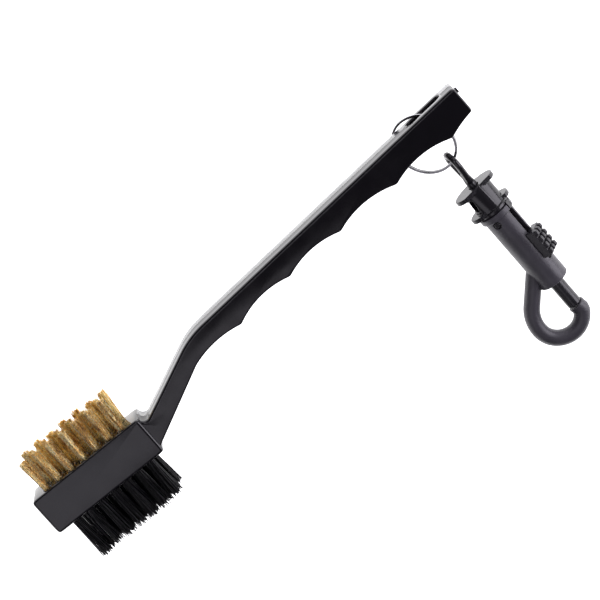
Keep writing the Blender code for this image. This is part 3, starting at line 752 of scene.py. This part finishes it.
BARREL_TOP = 22.15 * MM
COLLAR_RADIUS = 5.7 * MM
COLLAR_END = 24.1 * MM
BARREL_RADIUS = 5.0 * MM
BARREL_END = 52.0 * MM
BORE_RADIUS = 3.6 * MM
BORE_END = 49.5 * MM
ROD_HOLE_RADIUS = 2.55 * MM
THUMB_TURN = radians(35.0)
THUMB_SLOT_WIDTH = 2.3 * MM
THUMB_SLOT_END = 44.5 * MM

HOOK_SECTION_RADIUS = 2.6 * MM
HOOK_TIP_SWELL = 0.16 * MM
HOOK_TIP = Vector((0.15, 0.0, 62.6)) * MM
# The bend's centre and radius at the tip and towards the arm
HOOK_TIP_BEND = (Vector((-5.9, 0.0, 62.55)) * MM, 6.8 * MM)
HOOK_ARM_BEND = (Vector((-5.9, 0.0, 61.75)) * MM, 7.6 * MM)
HOOK_BEND_START = radians(20.0)
HOOK_ARM_FROM = 61.55 * MM
HOOK_ARM_RADIUS = 11.0 * MM
HOOK_ARM_LEAN = radians(42.5)
HOOK_ARM_RUN = 12.0 * MM

ROD_RADIUS = 2.35 * MM
ROD_TIP = 62.3 * MM
GUIDE_RADIUS = 3.3 * MM
GUIDE_FROM = 40.0 * MM
GUIDE_TO = 43.9 * MM
GUIDE_EDGE = 0.2 * MM
PAD_FROM = 33.4 * MM
PAD_TO = 43.1 * MM
PAD_SEAT_RADIUS = 5.35 * MM
PAD_BASE_TOP = 7.3 * MM
PAD_TOP = 8.3 * MM
PAD_WIDTH = 5.4 * MM
PAD_NECK_WIDTH = 1.7 * MM
PAD_ROWS = 4
PAD_COLUMNS = 3
HALF_GROOVE = (0.22 * MM, 0.17 * MM)
KNOB_DEPTH = 0.3 * MM

SPRING_FROM = 28.4 * MM
SPRING_TO = 39.6 * MM
SPRING_RADIUS = 2.7 * MM
SPRING_WIRE = 0.5 * MM
SPRING_TURNS = 6

OUT_OF_BARREL = Matrix.Rotation(NUB_TURN, 4, "Z") @ Matrix.Rotation(pi / 2, 4, "Y")
NUB_PLACE = SNAP @ Matrix.Translation((0, 0, NUB_AT)) @ OUT_OF_BARREL
THUMB_SIDE = SNAP @ Matrix.Rotation(THUMB_TURN, 4, "Z")
CAP = SNAP @ Matrix.Rotation(CAP_TURN, 4, "Z")


def arc_path(centre_x, centre_z, radius, start, end, steps):
    turns = [start + (end - start) * k / steps for k in range(steps + 1)]
    return [Vector((centre_x + radius * cos(turn), 0, centre_z + radius * sin(turn))) for turn in turns]


def make_swivel_eye(material):
    """A slender loop whose sides run together into the shank."""
    taper = asin((EYE_TOP_RADIUS - EYE_FOOT_RADIUS) / (EYE_FOOT_CENTRE - EYE_TOP_CENTRE))
    path = arc_path(0, EYE_FOOT_CENTRE, EYE_FOOT_RADIUS, taper, pi - taper, 20)
    sides = 24
    top = arc_path(0, EYE_TOP_CENTRE, EYE_TOP_RADIUS, pi - taper, 2 * pi + taper, 40)
    path += [path[-1].lerp(top[0], k / sides) for k in range(1, sides)]
    path += top
    path += [path[-1].lerp(path[0], k / sides) for k in range(1, sides)]
    sections = [circle(EYE_BAR / 2, 24)] * len(path)
    upright = SNAP @ Matrix.Rotation(pi / 2 + EYE_TWIST, 4, "Z")
    made = new_object("snap_swivel_eye", swept(path, Vector((0, 1, 0)), sections, closed=True), upright)
    shank = turned(rounded_profile([
        (0.9 * MM, EYE_FOOT_CENTRE - 2.4 * MM, 0),
        (SHANK_RADIUS * 0.92, EYE_FOOT_CENTRE + 0.6 * MM, 1.2 * MM),
        (SHANK_RADIUS, EYE_HEAD_FROM, 0),
        (EYE_HEAD_RADIUS, EYE_HEAD_FROM, 0.15 * MM),
        (EYE_HEAD_RADIUS, EYE_HEAD_TO, 0.5 * MM),
        (AXIS_RADIUS, EYE_HEAD_TO, 0),
    ]), 48)
    combine(made, "UNION", shank, SNAP)
    soften(made, FINE_VOXEL, 3, material)
    place_piece(made, "eye", "snap_plastic", "swivel_eye")


def flange(low):
    """An oval disc whose upper side is cut flat, with its rims slightly rounded."""
    outline = [Vector((FLANGE_HALF[0] * x + FLANGE_SHIFT, min(FLANGE_HALF[1] * y, FLANGE_FLAT)))
               for x, y in circle(1.0, 96)]
    built = edge_rounded_prism(outline, FLANGE_THICKNESS, lambda normal: FLANGE_EDGE, 3)
    bmesh.ops.translate(built, vec=(0, 0, low + FLANGE_THICKNESS / 2), verts=built.verts)
    return built


def tapered_oval(low_half, high_half, low, high, steps=12):
    outline = circle(1.0, 96)
    rings = []
    for k in range(steps + 1):
        t = k / steps
        half_x = low_half[0] + (high_half[0] - low_half[0]) * t
        half_y = low_half[1] + (high_half[1] - low_half[1]) * t
        rings.append([(half_x * x, half_y * y, low + (high - low) * t) for x, y in outline])
    return loft(rings)


def parting_ridge():
    """The mould's parting line down the waist's upper side, a low sharp ridge."""
    across = Vector((cos(PARTING_TURN), -sin(PARTING_TURN), 0)) * PARTING_LINE_HALF_WIDTH
    outward = Vector((sin(PARTING_TURN), cos(PARTING_TURN), 0))
    rings = []
    for z, radius in ((CAP_TOP + 0.2 * MM, 3.15 * MM), (LOWER_FLANGE + 1.2 * MM, 4.42 * MM)):
        crest = outward * radius + Vector((0, 0, z))
        foot = outward * (radius - 1.0 * MM) + Vector((0, 0, z))
        rings.append([crest - across, crest + across, foot + across, foot - across])
    return loft(rings)


def make_swivel_cap(material):
    """Two oval flanges on a waist that holds the swivel chamber, and a plug that snaps into the barrel."""
    made = new_object("snap_swivel_cap", flange(CAP_TOP), CAP)
    waist_foot = CAP_BASE_FROM + 0.3 * MM
    waist = tapered_oval(WAIST_HALF, WAIST_FOOT_HALF, CAP_TOP + FLANGE_THICKNESS / 2, waist_foot)
    combine(made, "UNION", waist, CAP)
    combine(made, "UNION", flange(LOWER_FLANGE), CAP)
    combine(made, "UNION", parting_ridge(), SNAP)
    combine(made, "UNION", pin(CAP_BASE_RADIUS, CAP_BASE_FROM, CAP_BASE_TO, CAP_EDGE, 96), SNAP)
    combine(made, "UNION", pin(PLUG_RADIUS, CHAMBER_TO + 0.5 * MM, PLUG_END, CAP_EDGE * 2), SNAP)
    nub_top = BARREL_RADIUS - 0.1 * MM
    combine(made, "UNION", pin(NUB_RADIUS, PLUG_RADIUS / 2, nub_top, CAP_EDGE, 32), NUB_PLACE)
    key_from = (CAP_BASE_FROM + CAP_BASE_TO) / 2
    key = box((0, -KEY_WIDTH / 2, key_from), (COLLAR_RADIUS, KEY_WIDTH / 2, COLLAR_END))
    combine(made, "UNION", key, THUMB_SIDE)
    combine(made, "DIFFERENCE", cylinder(CHAMBER_RADIUS, CHAMBER_FROM, CHAMBER_TO), SNAP)
    hole = cylinder(CAP_HOLE_RADIUS, CAP_TOP - BEYOND, CHAMBER_FROM + BEYOND)
    combine(made, "DIFFERENCE", hole, SNAP)
    window = box((-FLANGE_HALF[0] - BEYOND, -WINDOW_WIDTH / 2, CHAMBER_FROM),
                 (0, WINDOW_WIDTH / 2, CHAMBER_TO))
    combine(made, "DIFFERENCE", window, CAP)
    soften(made, FINER_VOXEL, 2, material)
    place_piece(made, "snap", "snap_plastic", "swivel_cap")


def hook_path():
    """The hook's centre line, from its tip to inside the barrel's wall."""
    tip_centre, tip_radius = HOOK_TIP_BEND
    centre, radius = HOOK_ARM_BEND
    bend = arc_path(tip_centre.x, tip_centre.z, tip_radius, HOOK_BEND_START, pi / 2, 22)
    bend += arc_path(centre.x, centre.z, radius, pi / 2, pi, 24)[1:]
    arm_x = centre.x - radius + HOOK_ARM_RADIUS
    arm = arc_path(arm_x, HOOK_ARM_FROM, HOOK_ARM_RADIUS, pi, pi + HOOK_ARM_LEAN, 18)
    into_barrel = arm[-1] + Vector((sin(HOOK_ARM_LEAN), 0, -cos(HOOK_ARM_LEAN))) * HOOK_ARM_RUN
    return [HOOK_TIP] + bend + arm + [into_barrel]


def make_snap_body(material):
    """Barrel and hook in one moulding, bored for the bolt and slotted for its thumb pad."""
    barrel = turned(rounded_profile([
        (AXIS_RADIUS, BARREL_TOP, 0),
        (COLLAR_RADIUS, BARREL_TOP, 0.15 * MM),
        (COLLAR_RADIUS, COLLAR_END, 0.25 * MM),
        (BARREL_RADIUS, COLLAR_END, 0.1 * MM),
        (BARREL_RADIUS, BARREL_END, 0.45 * MM),
        (AXIS_RADIUS, BARREL_END, 0),
    ]), 96)
    made = new_object("snap_hook_body", barrel, SNAP)
    path = hook_path()
    sections = []
    for i in range(len(path)):
        swell = HOOK_TIP_SWELL * exp(-(i / 5) ** 2)
        sections.append(circle(HOOK_SECTION_RADIUS + swell, 40))
    combine(made, "UNION", swept(path, Vector((0, 1, 0)), sections), SNAP)
    combine(made, "DIFFERENCE", cylinder(BORE_RADIUS, BARREL_TOP - BEYOND, BORE_END), SNAP)
    combine(made, "DIFFERENCE", cylinder(ROD_HOLE_RADIUS, BORE_END - BEYOND, BARREL_END + BEYOND), SNAP)
    slot = box((0, -THUMB_SLOT_WIDTH / 2, BARREL_TOP - BEYOND),
               (COLLAR_RADIUS + BEYOND, THUMB_SLOT_WIDTH / 2, THUMB_SLOT_END))
    combine(made, "DIFFERENCE", slot, THUMB_SIDE)
    nub_hole = cylinder(NUB_HOLE_RADIUS, PLUG_RADIUS / 2, COLLAR_RADIUS + BEYOND, 32)
    combine(made, "DIFFERENCE", nub_hole, NUB_PLACE)
    soften(made, FINE_VOXEL, 2, material)
    place_piece(made, "snap", "snap_plastic", "snap_body")


# Height and width of a knob's rings, as shares of its whole height and width
KNOB_SHAPE = ((0.0, 1.0), (0.5, 0.97), (0.8, 0.86), (0.95, 0.7), (1.0, 0.5))


def knob(low, high, rise):
    """One of the pad's knobs, a block whose top is drawn in and rounded."""
    middle = (Vector(low) + Vector(high)) / 2
    half = (Vector(high) - Vector(low)) / 2
    rings = []
    for height, share in KNOB_SHAPE:
        rounding = min(half.x, half.y) * 0.45 * share
        outline = rounded_rectangle(half.x * share, half.y * share, rounding, 4)
        rings.append([(middle.z + rise * height, middle.x + p.x, middle.y + p.y) for p in outline])
    return loft(rings)


def make_bolt_plunger(material):
    """Rod, guide head and thumb pad in one moulding; the pad's neck runs in the barrel's slot."""
    rod = turned(rounded_profile([
        (AXIS_RADIUS, GUIDE_FROM, 0),
        (GUIDE_RADIUS, GUIDE_FROM, GUIDE_EDGE),
        (GUIDE_RADIUS, GUIDE_TO, GUIDE_EDGE),
        (ROD_RADIUS, GUIDE_TO, 0),
        (ROD_RADIUS, ROD_TIP, GUIDE_EDGE),
        (AXIS_RADIUS, ROD_TIP, 0),
    ]), 64)
    made = new_object("snap_bolt_plunger", rod, SNAP)
    neck = box((0, -PAD_NECK_WIDTH / 2, GUIDE_FROM + GUIDE_EDGE),
               (PAD_BASE_TOP - 0.4 * MM, PAD_NECK_WIDTH / 2, PAD_TO))
    combine(made, "UNION", neck, THUMB_SIDE)
    block = box((ROD_RADIUS, -PAD_WIDTH / 2, PAD_FROM), (PAD_BASE_TOP, PAD_WIDTH / 2, PAD_TO))
    pad = new_object("pad", block, THUMB_SIDE)
    combine(pad, "DIFFERENCE", cylinder(PAD_SEAT_RADIUS, 0, PAD_TO * 2, 96), SNAP)
    built = bmesh.new()
    built.from_mesh(pad.data)
    bpy.data.objects.remove(pad, do_unlink=True)
    combine(made, "UNION", built, Matrix.Identity(4))
    row_pitch = (PAD_TO - PAD_FROM) / PAD_ROWS
    column_pitch = PAD_WIDTH / PAD_COLUMNS
    half_z = row_pitch / 2 - HALF_GROOVE[0]
    half_y = column_pitch / 2 - HALF_GROOVE[1]
    base = PAD_BASE_TOP - KNOB_DEPTH
    for row in range(PAD_ROWS):
        for column in range(PAD_COLUMNS):
            z = PAD_FROM + row_pitch * (row + 0.5)
            y = column_pitch * (column - (PAD_COLUMNS - 1) / 2)
            shape = knob((y - half_y, z - half_z, base), (y + half_y, z + half_z, base), PAD_TOP - base)
            combine(made, "UNION", shape, THUMB_SIDE)
    soften(made, FINE_VOXEL, 2, material)
    place_piece(made, "bolt", "snap_plastic", "bolt_plunger")


def make_bolt_spring(material):
    """The spring, an evenly wound coil of wire between the plug and the bolt's guide head."""
    steps = 32
    count = SPRING_TURNS * steps
    length = SPRING_TO - SPRING_FROM - SPRING_WIRE
    rings = []
    for i in range(count + 1):
        turn = 2 * pi * i / steps
        height = SPRING_FROM + SPRING_WIRE / 2 + length * i / count
        outward = Vector((cos(turn), sin(turn), 0))
        rings.append([outward * (SPRING_RADIUS + x) + Vector((0, 0, height + y))
                      for x, y in circle(SPRING_WIRE / 2, 10)])
    piece = new_object("snap_bolt_spring", loft(rings), SNAP, material, 60.0)
    place_piece(piece, "snap", "spring_steel", "bolt_spring")
    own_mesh(piece)


# ---------------------------------------------------------------------------------------- floor and light

FLOOR_DROP = 0.02 * MM
LIGHT_COLOUR = (0.99, 0.955, 1.05)
WORLD_COLOUR = (0.99, 0.95, 1.06, 1.0)
WORLD_STRENGTH = 0.08
# Each softbox's name, place, target, size and power
SOFTBOXES = (
    ("above_the_block", (-0.66, -0.27, 1.3), (-0.07, 0.02, 0), (0.8, 0.75), 1.85),
    ("above_the_spine", (-0.13, 0.45, 1.2), (0, 0, 0), (1.2, 0.2), 1.9),
    ("spineward", (0.7, 0.9, 0.5), (0, 0, 0), (1.2, 0.7), 3.4),
    ("butt_side", (1.1, -0.35, 0.6), (0.07, -0.02, 0), (1.2, 0.9), 14.0),
    ("front_side", (-1.2, -0.1, 0.4), (0, 0, 0), (1.0, 0.5), 0.9),
)

# In the handle frame; the turn is that of the picture's up from the grip's axis
CAMERA_PLACE = Vector((7.756, 146.66, 667.16)) * MM
CAMERA_TARGET = Vector((-76.37, -15.12, 5.6)) * MM
CAMERA_TURN = 0.811
CAMERA_LENS = 137.73


def make_floor():
    built = bmesh.new()
    bmesh.ops.create_grid(built, x_segments=1, y_segments=1, size=3.0)
    floor = new_object("studio_floor", built, Matrix.Translation((0, 0, -FLOOR_DROP)))
    made = Nodes("floor_paper", 0.9)
    made.set("Base Color", (0.93, 0.93, 0.93, 1.0))
    made.set("Emission Color", (1.0, 1.0, 1.0, 1.0))
    made.set("Emission Strength", 1.5)
    floor.data.materials.append(made.material)


def softbox(name, place, target, size, power):
    light = bpy.data.lights.new(name, "AREA")
    light.shape = "RECTANGLE"
    light.size = size[0]
    light.size_y = size[1]
    light.energy = power
    light.color = LIGHT_COLOUR
    made = bpy.data.objects.new(name, light)
    bpy.context.scene.collection.objects.link(made)
    made.location = place
    made.rotation_euler = (Vector(target) - Vector(place)).to_track_quat("-Z", "Y").to_euler()


def make_light():
    world = bpy.data.worlds.new("studio")
    bpy.context.scene.world = world
    world.use_nodes = True
    background = world.node_tree.nodes["Background"]
    background.inputs["Color"].default_value = WORLD_COLOUR
    background.inputs["Strength"].default_value = WORLD_STRENGTH
    for box_light in SOFTBOXES:
        softbox(*box_light)


def make_camera():
    """Nearly straight down, from the butt end's side of the spine."""
    data = bpy.data.cameras.new("camera")
    data.sensor_width = 36.0
    data.lens = CAMERA_LENS
    data.clip_start = 0.01
    made = bpy.data.objects.new("camera", data)
    bpy.context.scene.collection.objects.link(made)
    place = HANDLE @ CAMERA_PLACE
    target = HANDLE @ CAMERA_TARGET
    picture_up = HANDLE.to_3x3() @ Vector((cos(CAMERA_TURN), sin(CAMERA_TURN), 0))
    back = (place - target).normalized()
    right = picture_up.cross(back).normalized()
    made.matrix_world = frame_of(right, back.cross(right), back, place)
    bpy.context.scene.camera = made


# Each plastic's name, colour, colour where worn, roughness from and to, and depth of grain and waviness
HANDLE_PLASTIC = ("glossy_black_plastic", (0.003, 0.0025, 0.004), (0.006, 0.0055, 0.0075),
                  (0.11, 0.19), 0.004 * MM, 0.04 * MM)
SNAP_PLASTIC = ("satin_black_plastic", (0.042, 0.0395, 0.048), (0.056, 0.053, 0.063),
                (0.36, 0.48), 0.016 * MM, 0.03 * MM)
CAP_PLASTIC = ("semigloss_black_plastic", (0.008, 0.0074, 0.0096), (0.016, 0.015, 0.0185),
               (0.17, 0.26), 0.008 * MM, 0.03 * MM)
BOLT_PLASTIC = ("bolt_black_plastic", (0.013, 0.012, 0.0152), (0.03, 0.028, 0.034),
                (0.24, 0.34), 0.01 * MM, 0.03 * MM)


def main():
    handle_plastic = moulded_plastic(*HANDLE_PLASTIC)
    snap_plastic = moulded_plastic(*SNAP_PLASTIC)
    cap_plastic = moulded_plastic(*CAP_PLASTIC)
    bolt_plastic = moulded_plastic(*BOLT_PLASTIC)
    make_handle(handle_plastic)
    make_tufts("brass", 1, BRASS, brass_wire(), "brass_wire")
    make_tufts("nylon", -1, NYLON, nylon_filament(), "nylon")
    make_ring(drawn_steel("plated_steel", (0.4, 0.4, 0.41), (0.12, 0.25)))
    make_swivel_eye(cap_plastic)
    make_swivel_cap(cap_plastic)
    make_snap_body(snap_plastic)
    make_bolt_plunger(bolt_plastic)
    make_bolt_spring(drawn_steel("spring_steel", (0.5, 0.5, 0.52), (0.25, 0.4)))
    make_floor()
    make_light()
    make_camera()
    bpy.context.scene.view_settings.view_transform = "Standard"


main()
